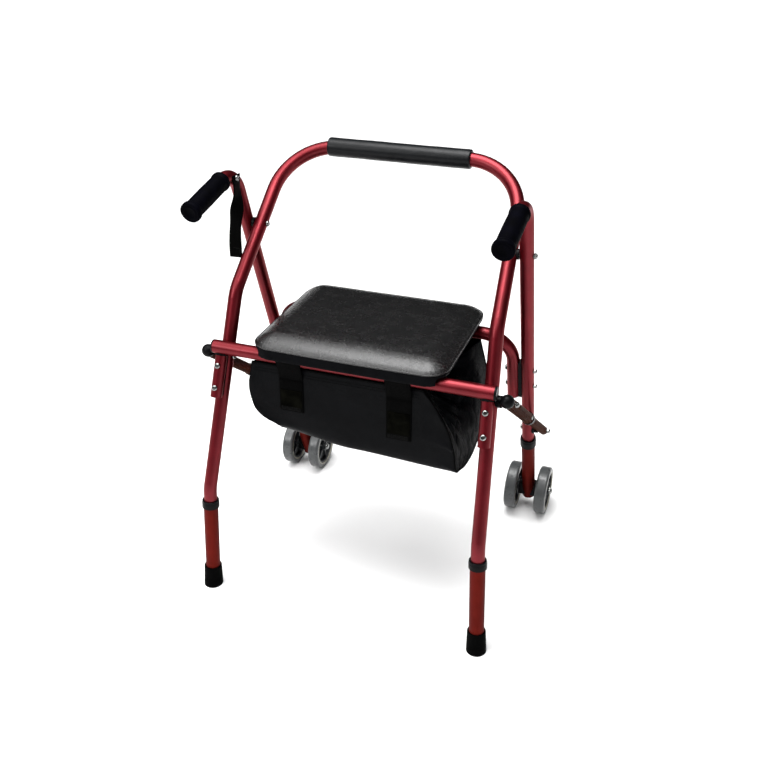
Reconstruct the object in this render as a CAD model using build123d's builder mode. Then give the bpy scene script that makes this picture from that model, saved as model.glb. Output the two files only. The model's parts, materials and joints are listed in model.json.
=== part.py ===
from build123d import *
import os

# Folding rollator walker with a padded seat and an under-seat bag.
# Frame: origin on the floor below the middle of the walker, +X to the user's
# right, +Y forward (towards the wheels), +Z up. All sizes in millimetres.
# Right-hand pieces are modelled at x > 0 and mirrored to the left.

# ---------------------------------------------------------------- tube stock
TUBE_R = 12.7            # 25.4 mm frame tube
WALL = 1.5
SLEEVE_R = 14.2          # lower leg tube that slides over the frame tube
SLEEVE_BORE = 13.0
PLAY = 0.3               # gap between pieces that move past each other
HUG = 0.1                # gap between pieces that are clamped together
LEAN = 0.4               # extra gap where a flat seat meets a leaning tube

# --------------------------------------------------- frame corners, right side
REAR_FOOT = Vector(277.5, -252.3, 0)
REAR_BEND = Vector(267.4, -240.5, 230.5)
KNEE = Vector(248.0, -107.1, 594.9)
ARCH_CORNER = Vector(231.5, 126.6, 812.0)
AXLE = Vector(272.9, 218.1, 53.3)
HANDLE_CORNER = Vector(269.3, -41.7, 802.5)
GRIP_END = Vector(269.3, -197.9, 770.4)
REAR_TUBE_END_Z = 40.0
FRONT_TUBE_END_Z = 80.0
LEG_BEND_R = 60.0
ARCH_BEND_R = 110.0
HANDLE_BEND_R = 50.0

# ------------------------------------------------------------- crossbars, seat
REAR_BAR = Vector(265.5, -172.0, 506.4)     # right end of the rear crossbar axis
FRONT_BAR = Vector(242.4, 64.1, 497.5)      # right corner of the front crossbar
FRONT_BAR_FOOT_Z = 346.0
BAR_BEND_R = 60.0
STUB_R = 11.0
STUB_OFFSET = 24.6                          # stub axis behind the leg axis
STUB_LENGTH = 81.0
STUB_TOP_GAP = 14.5                         # crossbar axis to the stub's end
STUB_BOLTS = (19.9, 62.1)                   # bolt places down from the stub's top
BAR_BOLT_Z = (418.0, 377.0)
SEAT_HALF_WIDTH = 184.0
SEAT_REAR_Y = -187.0
SEAT_FRONT_Y = 100.0
SEAT_CORNER_R = 28.0
SEAT_BOTTOM_Z = 521.4
BOARD_THICK = 8.0
CUSHION_THICK = 18.0
CUSHION_REAR_Y = -199.0
CUSHION_CORNER_R = 34.0
LIP_BOTTOM_Z = 508.5      # the padded edge hangs over the rear crossbar
LIP_THICK = 11.0
SEAT_CLIP_X = 128.0
SEAT_REST_X = 152.0

# ------------------------------------------------------------------- fasteners
BOLT_R = 3.0
BOLT_HOLE_R = 3.2
HINGE_HOLE_R = 3.07
BAR_SCREW_R = 2.5
HEAD_R = 5.6
HEAD_HEIGHT = 3.4
SOCKET_R = 2.3
NUT_R = 5.4
NUT_HEIGHT = 6.2

# ----------------------------------------------------------- legs and wheels
STEP = 25.0              # height adjustment pitch
STEPS = 3
TIP_HEIGHT = 46.0
TIP_TOP_R = 17.4
TIP_BOTTOM_R = 19.2
SLEEVE_START_Z = 8.0
REAR_COLLAR_Z = (189.0, 205.0)
FRONT_COLLAR_Z = (200.0, 222.0)
FRONT_SLEEVE_END_Z = 31.0
REAR_BUTTON_Z = 72.0
FRONT_BUTTON_Z = 102.0
COLLAR_R = 16.2
BUTTON_R = 3.4
BUTTON_HOLE_R = 3.9
WHEEL_R = 53.3
WHEEL_WIDTH = 25.0
WHEEL_OFFSET = 33.6      # wheel centre from the leg axis
RIM_R = 41.2
AXLE_R = 4.0
AXLE_FIT = 0.08

# ------------------------------------------------------------------ side links
LINK_REAR = Vector(286.5, -149.5, 479.0)    # pivot on the rear leg
LINK_FRONT = Vector(303.0, 149.0, 252.5)    # pivot on the front leg
LINK_OUTER_R = 11.0
LINK_INNER_R = 9.2
LINK_OUTER_SPAN = (-15.0, 196.0)            # along the link from the rear pivot
LINK_INNER_START = 144.0
LINK_INNER_TAIL = 10.0
LINK_BUTTON_AT = 172.0
BUSH_STAND = 1.2         # bush face beyond the inner tube, at the front pivot
FOLD_LIMIT = 32.0        # degrees the front frame swings when it folds

os.makedirs("parts", exist_ok=True)


# ------------------------------------------------------------------- helpers
def at_height(low, high, z):
    """Point at height z on the line through two points."""
    return low + (high - low) * ((z - low.Z) / (high.Z - low.Z))


def rod(start, end, outer, bore=0.0):
    """Straight round bar, or a tube where a bore is given."""
    axis = end - start
    with BuildPart() as bar:
        with BuildSketch(Plane(origin=start, z_dir=axis)):
            Circle(outer)
            if bore > 0:
                Circle(bore, mode=Mode.SUBTRACT)
        extrude(amount=axis.length)
    return bar.part


def round_ended(start, end, outer, rounding, bore=0.0):
    """Round bar whose far rim is rounded over."""
    with BuildPart() as bar:
        add(rod(start, end, outer))
        far = bar.faces().sort_by(Axis(start, end - start))[-1]
        fillet(far.edges(), rounding)
        if bore > 0:
            add(rod(start, end, bore), mode=Mode.SUBTRACT)
    return bar.part


def bent_tube(corners, bends):
    """Frame tube through corner points, with a bend radius at each inner one."""
    with BuildPart() as tube:
        with BuildLine() as route:
            FilletPolyline(*corners, radius=bends)
        with BuildSketch(Plane(route.line ^ 0)):
            Circle(TUBE_R)
            Circle(TUBE_R - WALL, mode=Mode.SUBTRACT)
        sweep(path=route.line)
    return tube.part


def bolt(head_seat, nut_seat, shank=None):
    """Button-head socket bolt with a dome nut, as two solids."""
    along = (nut_seat - head_seat).normalized()
    top = head_seat - along * HEAD_HEIGHT
    shank_end = nut_seat + along * (NUT_HEIGHT - 2.2) if shank is None else shank
    with BuildPart() as fastener:
        add(round_ended(head_seat, top, HEAD_R, HEAD_HEIGHT * 0.8))
        with BuildSketch(Plane(origin=top, z_dir=along)):
            RegularPolygon(radius=SOCKET_R, side_count=6)
        extrude(amount=HEAD_HEIGHT * 0.6, mode=Mode.SUBTRACT)
        add(rod(head_seat, shank_end, BOLT_R))
        if shank is None:
            add(dome_nut(nut_seat, along))
    return fastener.part


def dome_nut(seat, along):
    """Blind nut: hexagon, flange and dome, standing on its seat."""
    with BuildPart() as nut:
        with BuildSketch(Plane(origin=seat, z_dir=along)):
            RegularPolygon(radius=NUT_R, side_count=6)
        extrude(amount=NUT_HEIGHT * 0.5)
        add(round_ended(seat, seat + along * NUT_HEIGHT, NUT_R * 0.84, NUT_R * 0.6))
        add(rod(seat, seat + along * (NUT_HEIGHT - 1.8), BOLT_R + 0.05), mode=Mode.SUBTRACT)
    return nut.part


def snap_clip(seat, along, out, tube_bore, reach):
    """V-shaped leaf spring running along inside a tube, its button poking out."""
    leaf = 1.0
    inner = tube_bore - 0.6
    length = 46.0
    with BuildPart() as clip:
        with BuildSketch(Plane(origin=seat, x_dir=out, z_dir=out.cross(along))):
            with BuildLine():
                Polyline(
                    (inner, -8), (inner, 8), (1.5, length), (-1.5, length),
                    (-inner, 0), (-inner + leaf, 0), (-0.6, length - leaf),
                    (0.6, length - leaf), (inner - leaf, 7), (inner - leaf, -8),
                    close=True,
                )
            make_face()
        extrude(amount=3.0, both=True)
        add(round_ended(seat + out * (inner - leaf), seat + out * reach, BUTTON_R, 1.6))
    return clip.part


def save(part, name):
    part.label = name
    export_step(part, f"parts/{name}.step")


def save_pair(right, name):
    """Write a right-hand piece and its mirror image as two nodes."""
    with BuildPart() as left:
        mirror(right, about=Plane.YZ)
    save(right, f"{name}_right")
    save(left.part, f"{name}_left")


def save_both(right, name):
    """Write a right-hand piece and its mirror image as one node."""
    with BuildPart() as both:
        add(right)
        mirror(right, about=Plane.YZ)
    save(both.part, name)


# --------------------------------------------------- directions and crossings
X = Vector(1, 0, 0)
rear_up = (REAR_BEND - REAR_FOOT).normalized()
mid_up = (KNEE - REAR_BEND).normalized()
front_up = (HANDLE_CORNER - AXLE).normalized()
link_along = (LINK_FRONT - LINK_REAR).normalized()
link_length = (LINK_FRONT - LINK_REAR).length
grip_back = (GRIP_END - HANDLE_CORNER).normalized()


def mirrored(point):
    """The same point on the left-hand side."""
    return Vector(-point.X, point.Y, point.Z)


def square_to(axis, towards):
    """Direction square to an axis, leaning as near as it can towards another."""
    return (towards - axis * towards.dot(axis)).normalized()


behind_leg = square_to(mid_up, Vector(0, -1, 0))
rear_button_out = square_to(rear_up, Vector(0, 1, 0))
front_button_out = square_to(front_up, Vector(0, 1, 0))

front_slope = (HANDLE_CORNER.Y - AXLE.Y) / (HANDLE_CORNER.Z - AXLE.Z)
arch_slope = (ARCH_CORNER.Y - KNEE.Y) / (ARCH_CORNER.Z - KNEE.Z)
pivot_z = (AXLE.Y - KNEE.Y - front_slope * AXLE.Z + arch_slope * KNEE.Z) / (arch_slope - front_slope)
arch_pivot = at_height(KNEE, ARCH_CORNER, pivot_z)
front_pivot = at_height(AXLE, HANDLE_CORNER, pivot_z)
link_rear_leg = at_height(REAR_BEND, KNEE, LINK_REAR.Z)
link_front_leg = at_height(AXLE, HANDLE_CORNER, LINK_FRONT.Z)

# How far the link shortens over the fold, and how far that draws its end inwards.
swing_axis = Axis((0, 0, 0), -X)
folded_front = front_pivot + (LINK_FRONT - front_pivot).rotate(swing_axis, FOLD_LIMIT)
folded_run = folded_front - LINK_REAR
link_lean = (1 - link_along.X**2) ** 0.5
link_travel = link_length - (folded_run.Y**2 + folded_run.Z**2) ** 0.5 / link_lean
link_sway = link_travel * link_along.X

bar_foot = at_height(AXLE, HANDLE_CORNER, FRONT_BAR_FOOT_Z)
bar_foot = Vector(FRONT_BAR.X, bar_foot.Y, bar_foot.Z)
leg_beside_bar = at_height(AXLE, HANDLE_CORNER, FRONT_BAR.Z)

bar_on_leg = at_height(REAR_BEND, KNEE, REAR_BAR.Z)
bar_on_leg = bar_on_leg + mid_up * (REAR_BAR - bar_on_leg).dot(mid_up)
stub_top = bar_on_leg + behind_leg * STUB_OFFSET - mid_up * STUB_TOP_GAP
stub_bottom = stub_top - mid_up * STUB_LENGTH
bar_at_stub = Vector(stub_top.X, REAR_BAR.Y, REAR_BAR.Z)
bar_screw_foot = bar_at_stub - mid_up * (STUB_TOP_GAP + 13)


def stub_bolt_ends(down):
    """Seats of a stub bolt: on the back of the stub and the front of the leg."""
    axis_point = stub_top - mid_up * down
    head_seat = axis_point + behind_leg * STUB_R
    nut_seat = axis_point - behind_leg * (STUB_OFFSET + TUBE_R)
    return head_seat, nut_seat


def bar_bolt_ends(z):
    """Seats of a front crossbar bolt: inside the crossbar, outside the leg."""
    leg = at_height(AXLE, HANDLE_CORNER, z)
    head_seat = Vector(FRONT_BAR.X - TUBE_R, leg.Y, z)
    nut_seat = Vector(leg.X + TUBE_R + HUG, leg.Y, z)
    return head_seat, nut_seat


# ---------------------------------------------------------- rear (arch) frame
right_run = [at_height(REAR_FOOT, REAR_BEND, REAR_TUBE_END_Z), REAR_BEND, KNEE, ARCH_CORNER]
left_run = [mirrored(point) for point in reversed(right_run)]
arch_bends = [LEG_BEND_R, LEG_BEND_R, ARCH_BEND_R, ARCH_BEND_R, LEG_BEND_R, LEG_BEND_R]

with BuildPart() as arch_holes:
    add(rod(arch_pivot - X * 20, arch_pivot + X * 20, BOLT_HOLE_R))
    add(rod(link_rear_leg - X * 20, link_rear_leg + X * 20, BOLT_HOLE_R))
    for down in STUB_BOLTS:
        add(rod(*stub_bolt_ends(down), BOLT_HOLE_R))
    rear_button = at_height(REAR_FOOT, REAR_BEND, REAR_BUTTON_Z)
    add(rod(rear_button, rear_button + rear_button_out * 20, BUTTON_HOLE_R))

with BuildPart() as arch_frame:
    add(bent_tube(right_run + left_run, arch_bends))
    add(arch_holes.part, mode=Mode.SUBTRACT)
    mirror(arch_holes.part, about=Plane.YZ, mode=Mode.SUBTRACT)
save(arch_frame.part, "arch_frame")

PAD_R = 18.0
PAD_SPAN = (-150.0, 131.0)
with BuildPart() as backrest_pad:
    with BuildSketch(Plane(origin=(PAD_SPAN[0], ARCH_CORNER.Y, ARCH_CORNER.Z), z_dir=X)):
        Circle(PAD_R)
        Circle(TUBE_R + HUG, mode=Mode.SUBTRACT)
    extrude(amount=PAD_SPAN[1] - PAD_SPAN[0])
    fillet(backrest_pad.edges().filter_by(GeomType.CIRCLE).group_by(SortBy.RADIUS)[-1], 2.5)
save(backrest_pad.part, "backrest_pad")

# --------------------------------------------------------------- rear crossbar
with BuildPart() as rear_crossbar:
    add(rod(mirrored(REAR_BAR), REAR_BAR, TUBE_R, TUBE_R - WALL))
    screw_hole = rod(bar_screw_foot, bar_at_stub, BAR_SCREW_R + 0.2)
    add(screw_hole, mode=Mode.SUBTRACT)
    mirror(screw_hole, about=Plane.YZ, mode=Mode.SUBTRACT)
save(rear_crossbar.part, "rear_crossbar")

PLUG_DEPTH = 20.0
PLUG_LIP = 4.0
with BuildPart() as bar_plug:
    add(rod(REAR_BAR - X * PLUG_DEPTH, REAR_BAR, TUBE_R - WALL - HUG, 7.0))
    add(rod(bar_screw_foot, bar_at_stub, 5.4), mode=Mode.SUBTRACT)
    add(round_ended(REAR_BAR + X * HUG, REAR_BAR + X * PLUG_LIP, TUBE_R, 2.0))
    add(rod(REAR_BAR, REAR_BAR + X * HUG, 9.0))
save_both(bar_plug.part, "crossbar_plugs")

with BuildPart() as stub:
    add(rod(stub_bottom, stub_top, STUB_R, STUB_R - WALL))
    for down in STUB_BOLTS:
        add(rod(*stub_bolt_ends(down), BOLT_HOLE_R), mode=Mode.SUBTRACT)
save_pair(stub.part, "crossbar_stub")

CUP_DEPTH = 16.0
with BuildPart() as cup:
    add(rod(stub_top - mid_up * CUP_DEPTH, stub_top + mid_up, STUB_R - WALL - HUG))
    add(rod(stub_top + mid_up * HUG, stub_top + mid_up * 11, TUBE_R))
    add(rod(REAR_BAR - X * 60, REAR_BAR + X * 60, TUBE_R + HUG), mode=Mode.SUBTRACT)
    leg_axis = (stub_bottom - behind_leg * STUB_OFFSET, bar_on_leg + mid_up * 60)
    add(rod(*leg_axis, TUBE_R + HUG), mode=Mode.SUBTRACT)
    add(rod(bar_screw_foot - mid_up * 9, bar_at_stub, BAR_SCREW_R + 0.2), mode=Mode.SUBTRACT)
save_both(cup.part, "crossbar_cups")

with BuildPart() as stub_strip:
    leg_side = behind_leg * -STUB_OFFSET
    strip_middle = stub_bottom + mid_up * 2 + leg_side * 0.5
    with BuildSketch(Plane(origin=strip_middle, x_dir=behind_leg, z_dir=mid_up)):
        RectangleRounded(12.0, 15.0, 2.0)
    extrude(amount=STUB_LENGTH - 4)
    add(rod(stub_bottom, stub_top, STUB_R + HUG), mode=Mode.SUBTRACT)
    add(rod(stub_bottom + leg_side, stub_top + leg_side, TUBE_R + HUG), mode=Mode.SUBTRACT)
    for down in STUB_BOLTS:
        add(rod(*stub_bolt_ends(down), BOLT_HOLE_R), mode=Mode.SUBTRACT)
save_both(stub_strip.part, "stub_strips")

# ------------------------------------------------------------- side link seats
SPACER_R = 11.0
RIBS = 4
with BuildPart() as rear_spacers:
    spacer_start = link_rear_leg + X * (TUBE_R - 3)
    spacer_end = LINK_REAR - X * (LINK_OUTER_R + PLAY + LEAN)
    add(rod(spacer_start, spacer_end, SPACER_R, BOLT_HOLE_R))
    for rib in range(RIBS):
        groove = spacer_end - X * (1.4 + 2.1 * rib)
        add(rod(groove - X * 0.8, groove, SPACER_R + 1, SPACER_R - 0.8), mode=Mode.SUBTRACT)
    leg_axis = (link_rear_leg - mid_up * 40, link_rear_leg + mid_up * 40)
    add(rod(*leg_axis, TUBE_R + HUG), mode=Mode.SUBTRACT)
    washer_start = arch_pivot + X * (TUBE_R - 1)
    washer_end = front_pivot - X * (TUBE_R + PLAY)
    add(rod(washer_start, washer_end, 9.5, BOLT_HOLE_R))
    arch_along = (ARCH_CORNER - KNEE).normalized()
    arch_axis = (arch_pivot - arch_along * 30, arch_pivot + arch_along * 30)
    add(rod(*arch_axis, TUBE_R + HUG), mode=Mode.SUBTRACT)
save_both(rear_spacers.part, "rear_frame_spacers")

# All bolts that stay with the rear frame: stubs, main pivot, links, crossbar.
with BuildPart() as rear_bolts:
    for down in STUB_BOLTS:
        add(bolt(*stub_bolt_ends(down)))
    add(bolt(arch_pivot - X * (TUBE_R + LEAN), front_pivot + X * (TUBE_R + PLAY)))
    link_nut_seat = LINK_REAR + X * (LINK_OUTER_R + PLAY + LEAN)
    add(bolt(link_rear_leg - X * (TUBE_R + LEAN), link_nut_seat))
    add(rod(bar_screw_foot, bar_at_stub - mid_up * 8, BAR_SCREW_R))
    add(rod(bar_at_stub - mid_up * 9.8, bar_at_stub - mid_up * 7, 4.6))
save_both(rear_bolts.part, "rear_frame_bolts")

# ------------------------------------------------------------------ rear feet
with BuildPart() as rear_sleeve:
    sleeve_foot = at_height(REAR_FOOT, REAR_BEND, SLEEVE_START_Z)
    sleeve_head = at_height(REAR_FOOT, REAR_BEND, REAR_COLLAR_Z[1] - 4)
    add(rod(sleeve_foot, sleeve_head, SLEEVE_R, SLEEVE_BORE))
    for step in range(STEPS + 1):
        hole = rear_button + rear_up * STEP * step
        add(rod(hole, hole + rear_button_out * 20, BUTTON_HOLE_R), mode=Mode.SUBTRACT)
save_pair(rear_sleeve.part, "rear_leg_sleeve")


def collar(low, high, bottom_z, top_z):
    """Plastic ring that caps a lower leg tube and guides the frame tube."""
    foot = at_height(low, high, bottom_z)
    head = at_height(low, high, top_z)
    along = (head - foot).normalized()
    with BuildPart() as ring:
        add(rod(foot, head - along * 6, COLLAR_R + 0.6, SLEEVE_R + HUG))
        add(round_ended(head - along * 6, head, COLLAR_R, 1.5, SLEEVE_R + HUG))
        add(rod(head - along * 3.5, head - along * 0.5, COLLAR_R - 1.0, SLEEVE_BORE))
    return ring.part


save_pair(collar(REAR_FOOT, REAR_BEND, *REAR_COLLAR_Z), "rear_leg_collar")

with BuildPart() as rubber_tip:
    tip_low = REAR_FOOT - rear_up * 4
    tip_high = at_height(REAR_FOOT, REAR_BEND, TIP_HEIGHT)
    with BuildSketch(Plane(origin=tip_low, z_dir=rear_up)):
        Circle(TIP_BOTTOM_R)
    with BuildSketch(Plane(origin=tip_high, z_dir=rear_up)):
        Circle(TIP_TOP_R)
    loft()
    fillet(rubber_tip.faces().sort_by(Axis.Z)[-1].edges(), 1.2)
    for ring in (12.0, 18.0, 24.0):
        groove = at_height(REAR_FOOT, REAR_BEND, ring)
        add(rod(groove, groove + rear_up * 1.6, TIP_BOTTOM_R + 2, TIP_TOP_R + 0.6), mode=Mode.SUBTRACT)
    bore_foot = at_height(REAR_FOOT, REAR_BEND, SLEEVE_START_Z - 0.1)
    add(rod(bore_foot, tip_high + rear_up, SLEEVE_R + HUG), mode=Mode.SUBTRACT)
    split(bisect_by=Plane.XY, keep=Keep.TOP)
save_pair(rubber_tip.part, "rubber_tip")

save_both(
    snap_clip(rear_button, -rear_up, rear_button_out, TUBE_R - WALL, SLEEVE_R + 1.6),
    "rear_snap_clips",
)

# ------------------------------------------------------- front (handle) frame
front_tube_foot = at_height(AXLE, HANDLE_CORNER, FRONT_TUBE_END_Z)
front_button = at_height(AXLE, HANDLE_CORNER, FRONT_BUTTON_Z)
grip_start = HANDLE_CORNER + grip_back * 45.0
HOOK_BOLT = Vector(269.3, -58.0, 791.8)          # strap bolt through the handle bend
HOOK_STRAP_THICK = 1.8

with BuildPart() as handle_tube:
    add(bent_tube([front_tube_foot, HANDLE_CORNER, GRIP_END - grip_back * 6], HANDLE_BEND_R))
    add(rod(front_pivot - X * 20, front_pivot + X * 20, HINGE_HOLE_R), mode=Mode.SUBTRACT)
    for z in BAR_BOLT_Z:
        add(rod(*bar_bolt_ends(z), BOLT_HOLE_R), mode=Mode.SUBTRACT)
    add(rod(link_front_leg - X * 20, link_front_leg + X * 20, BOLT_HOLE_R), mode=Mode.SUBTRACT)
    add(rod(HOOK_BOLT - X * 20, HOOK_BOLT, BOLT_HOLE_R), mode=Mode.SUBTRACT)
    add(rod(front_button, front_button + front_button_out * 20, BUTTON_HOLE_R), mode=Mode.SUBTRACT)
save_pair(handle_tube.part, "handle_tube")

GRIP_R = 16.6
FLANGE_R = 19.0
FRONT_FLANGE_R = 18.0
with BuildPart() as grip:
    add(round_ended(GRIP_END, grip_start, GRIP_R, 3.0))
    add(round_ended(GRIP_END + grip_back * -9, GRIP_END + grip_back * 3, FLANGE_R, 3.5))
    add(round_ended(grip_start + grip_back * 8, grip_start, FRONT_FLANGE_R, 3.0))
    add(rod(GRIP_END - grip_back * 6, HANDLE_CORNER, TUBE_R + HUG), mode=Mode.SUBTRACT)
save_pair(grip.part, "hand_grip")

with BuildPart() as front_crossbar:
    left_leg = [mirrored(FRONT_BAR), mirrored(bar_foot)]
    add(bent_tube([bar_foot, FRONT_BAR] + left_leg, [BAR_BEND_R, BAR_BEND_R]))
    for z in BAR_BOLT_Z:
        head_seat, nut_seat = bar_bolt_ends(z)
        hole = rod(head_seat - X, head_seat + X * 30, BOLT_HOLE_R)
        add(hole, mode=Mode.SUBTRACT)
        mirror(hole, about=Plane.YZ, mode=Mode.SUBTRACT)
save(front_crossbar.part, "front_crossbar")

bar_gap = leg_beside_bar.X - FRONT_BAR.X
bar_up = (FRONT_BAR - bar_foot).normalized()
with BuildPart() as bar_strip:
    with BuildSketch(Plane(origin=bar_foot + X * bar_gap * 0.5, x_dir=X, z_dir=bar_up)):
        RectangleRounded(17.0, 13.0, 2.0)
    extrude(amount=98.0)
    add(rod(bar_foot - bar_up * 9, bar_foot + bar_up * 110, TUBE_R + HUG), mode=Mode.SUBTRACT)
    leg_axis = (front_tube_foot, leg_beside_bar + front_up * 60)
    add(rod(*leg_axis, TUBE_R + HUG), mode=Mode.SUBTRACT)
    for z in BAR_BOLT_Z:
        add(rod(*bar_bolt_ends(z), BOLT_HOLE_R), mode=Mode.SUBTRACT)
save_both(bar_strip.part, "crossbar_strips")

# Ring spacer on the front leg, clear of the link's end as it is drawn inwards.
ring_start = link_front_leg + X * (TUBE_R - 3)
ring_end = LINK_FRONT - X * (LINK_INNER_R + BUSH_STAND + link_sway + LEAN)
with BuildPart() as front_spacer:
    add(rod(ring_start, ring_end, SPACER_R, BOLT_HOLE_R))
    leg_axis = (link_front_leg - front_up * 40, link_front_leg + front_up * 40)
    add(rod(*leg_axis, TUBE_R + HUG), mode=Mode.SUBTRACT)
save_both(front_spacer.part, "front_leg_spacers")

with BuildPart() as front_bolts:
    for z in BAR_BOLT_Z:
        add(bolt(*bar_bolt_ends(z)))
    add(bolt(link_front_leg - X * (TUBE_R + HUG), ring_end, shank=ring_end - X * 0.4))
    hook_head = HOOK_BOLT - X * (TUBE_R + HOOK_STRAP_THICK + 2 * HUG)
    add(bolt(hook_head, HOOK_BOLT, shank=HOOK_BOLT))
save_both(front_bolts.part, "front_frame_bolts")

save_both(
    snap_clip(front_button, -front_up, front_button_out, TUBE_R - WALL, SLEEVE_R + 1.6),
    "front_snap_clips",
)

# ---------------------------------------------------------------- front feet
with BuildPart() as front_sleeve:
    sleeve_foot = at_height(AXLE, HANDLE_CORNER, FRONT_SLEEVE_END_Z)
    sleeve_head = at_height(AXLE, HANDLE_CORNER, FRONT_COLLAR_Z[1] - 4)
    add(rod(sleeve_foot, sleeve_head, SLEEVE_R, SLEEVE_BORE))
    add(rod(AXLE - X * 20, AXLE + X * 20, AXLE_R + 0.1), mode=Mode.SUBTRACT)
    for step in range(STEPS + 1):
        hole = front_button + front_up * STEP * step
        add(rod(hole, hole + front_button_out * 20, BUTTON_HOLE_R), mode=Mode.SUBTRACT)
save_pair(front_sleeve.part, "front_leg_sleeve")
save_pair(collar(AXLE, HANDLE_CORNER, *FRONT_COLLAR_Z), "front_leg_collar")

HUB_FACE = WHEEL_OFFSET - WHEEL_WIDTH / 2
axle_half = WHEEL_OFFSET + WHEEL_WIDTH / 2 + PLAY
with BuildPart() as wheel_axle:
    add(rod(AXLE - X * (axle_half + 4), AXLE + X * (axle_half + 4), AXLE_R))
    for side in (-1, 1):
        seat = AXLE + X * side * axle_half
        with BuildSketch(Plane(origin=seat, z_dir=X * side)):
            RegularPolygon(radius=8.4, side_count=6)
        extrude(amount=3.0)
        add(round_ended(seat, seat + X * side * 7.4, 7.2, 5.6))
save_pair(wheel_axle.part, "wheel_axle")

BLOCK_HEIGHT = 40.0
block_depth = HUB_FACE - PLAY
with BuildPart() as axle_blocks:
    for side in (-1, 1):
        face = AXLE + X * side * block_depth
        block_plane = Plane(origin=face, x_dir=Vector(0, 1, 0), z_dir=X * -side)
        with BuildSketch(block_plane):
            RectangleRounded(20.0, BLOCK_HEIGHT, 9.0)
        extrude(amount=block_depth - 6)
    block_axis = (AXLE - front_up * 60, AXLE + front_up * 60)
    add(rod(*block_axis, SLEEVE_R + HUG), mode=Mode.SUBTRACT)
    add(rod(AXLE - X * 30, AXLE + X * 30, AXLE_R + 0.1), mode=Mode.SUBTRACT)
save_pair(axle_blocks.part, "axle_blocks")

SPOKES = 5
wheel_centres = {"outer": AXLE + X * WHEEL_OFFSET, "inner": AXLE - X * WHEEL_OFFSET}
for place, centre in wheel_centres.items():
    wheel_plane = Plane(origin=centre, x_dir=Vector(0, 1, 0), z_dir=X)
    with BuildPart() as tyre:
        with BuildSketch(wheel_plane):
            Circle(WHEEL_R)
            Circle(RIM_R, mode=Mode.SUBTRACT)
        extrude(amount=WHEEL_WIDTH / 2, both=True)
        rims = tyre.edges().filter_by(GeomType.CIRCLE).group_by(SortBy.RADIUS)
        fillet(rims[-1], 5.0)
        fillet(rims[0], 1.0)
    save_pair(tyre.part, f"tyre_{place}")

    with BuildPart() as hub:
        with BuildSketch(wheel_plane):
            Circle(RIM_R - HUG)
            Circle(RIM_R - 4.2, mode=Mode.SUBTRACT)
        extrude(amount=10.5, both=True)
        with BuildSketch(wheel_plane):
            Circle(RIM_R - 4)
        extrude(amount=2.2, both=True)
        with BuildSketch(wheel_plane):
            Circle(9.5)
        extrude(amount=WHEEL_WIDTH / 2, both=True)
        with BuildSketch(wheel_plane):
            with PolarLocations(22.0, SPOKES):
                Rectangle(32.0, 3.0)
        extrude(amount=8.0, both=True)
        with BuildSketch(wheel_plane):
            Circle(AXLE_R + AXLE_FIT)
        extrude(amount=WHEEL_WIDTH, both=True, mode=Mode.SUBTRACT)
    save_pair(hub.part, f"hub_{place}")

# ------------------------------------------------------------------ side links
def along_link(distance):
    """Point on the link's axis, measured from its rear pivot."""
    return LINK_REAR + link_along * distance


link_button_out = square_to(link_along, X)
button_seat = along_link(LINK_BUTTON_AT)
folded_seat = along_link(LINK_BUTTON_AT - link_travel)

with BuildPart() as link_outer:
    outer_ends = [along_link(distance) for distance in LINK_OUTER_SPAN]
    add(rod(*outer_ends, LINK_OUTER_R, LINK_OUTER_R - WALL))
    add(rod(LINK_REAR - X * 20, LINK_REAR + X * 20, HINGE_HOLE_R), mode=Mode.SUBTRACT)
    for seat in (button_seat, folded_seat):
        add(rod(seat, seat + link_button_out * 20, BUTTON_HOLE_R), mode=Mode.SUBTRACT)
save_pair(link_outer.part, "link_outer_tube")

with BuildPart() as link_caps:
    dome_seat = along_link(LINK_OUTER_SPAN[0])
    add(rod(dome_seat, dome_seat + link_along * 6, LINK_OUTER_R - WALL - HUG))
    with Locations(dome_seat - link_along * 3):
        Sphere(12.4)
    tube_ends = (dome_seat, dome_seat + link_along * 12)
    add(rod(*tube_ends, LINK_OUTER_R + 4, LINK_OUTER_R - WALL - HUG), mode=Mode.SUBTRACT)
    collar_ends = (along_link(LINK_OUTER_SPAN[1] - 9), along_link(LINK_OUTER_SPAN[1] + 3))
    add(rod(*collar_ends, LINK_OUTER_R + 1.5, LINK_OUTER_R + HUG))
    lip_ends = (along_link(LINK_OUTER_SPAN[1] + HUG), collar_ends[1])
    add(rod(*lip_ends, LINK_OUTER_R + 1.0, LINK_INNER_R + PLAY))
save_pair(link_caps.part, "link_caps")

with BuildPart() as link_inner:
    inner_ends = (along_link(LINK_INNER_START), along_link(link_length + LINK_INNER_TAIL))
    add(rod(*inner_ends, LINK_INNER_R, LINK_INNER_R - WALL))
    add(rod(LINK_FRONT - X * 20, LINK_FRONT + X * 20, BOLT_HOLE_R), mode=Mode.SUBTRACT)
    add(rod(button_seat, button_seat + link_button_out * 20, BUTTON_HOLE_R), mode=Mode.SUBTRACT)
save_pair(link_inner.part, "link_inner_tube")

# The link's half of the open front pivot: bush, shank and nut.
with BuildPart() as link_bolt:
    shank_start = LINK_FRONT - X * (LINK_INNER_R + BUSH_STAND)
    shank_end = LINK_FRONT + X * (LINK_INNER_R + 4)
    add(rod(shank_start, shank_end, BOLT_R))
    add(dome_nut(LINK_FRONT + X * (LINK_INNER_R + LEAN), X))
save_pair(link_bolt.part, "link_end_bolt")

save_pair(
    snap_clip(button_seat, link_along, link_button_out, LINK_INNER_R - WALL, LINK_OUTER_R + 1.4),
    "link_snap_clip",
)

# ------------------------------------------------------------------------ seat
seat_mid_y = (SEAT_REAR_Y + SEAT_FRONT_Y) / 2
seat_depth = SEAT_FRONT_Y - SEAT_REAR_Y
board_top = SEAT_BOTTOM_Z + BOARD_THICK

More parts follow.
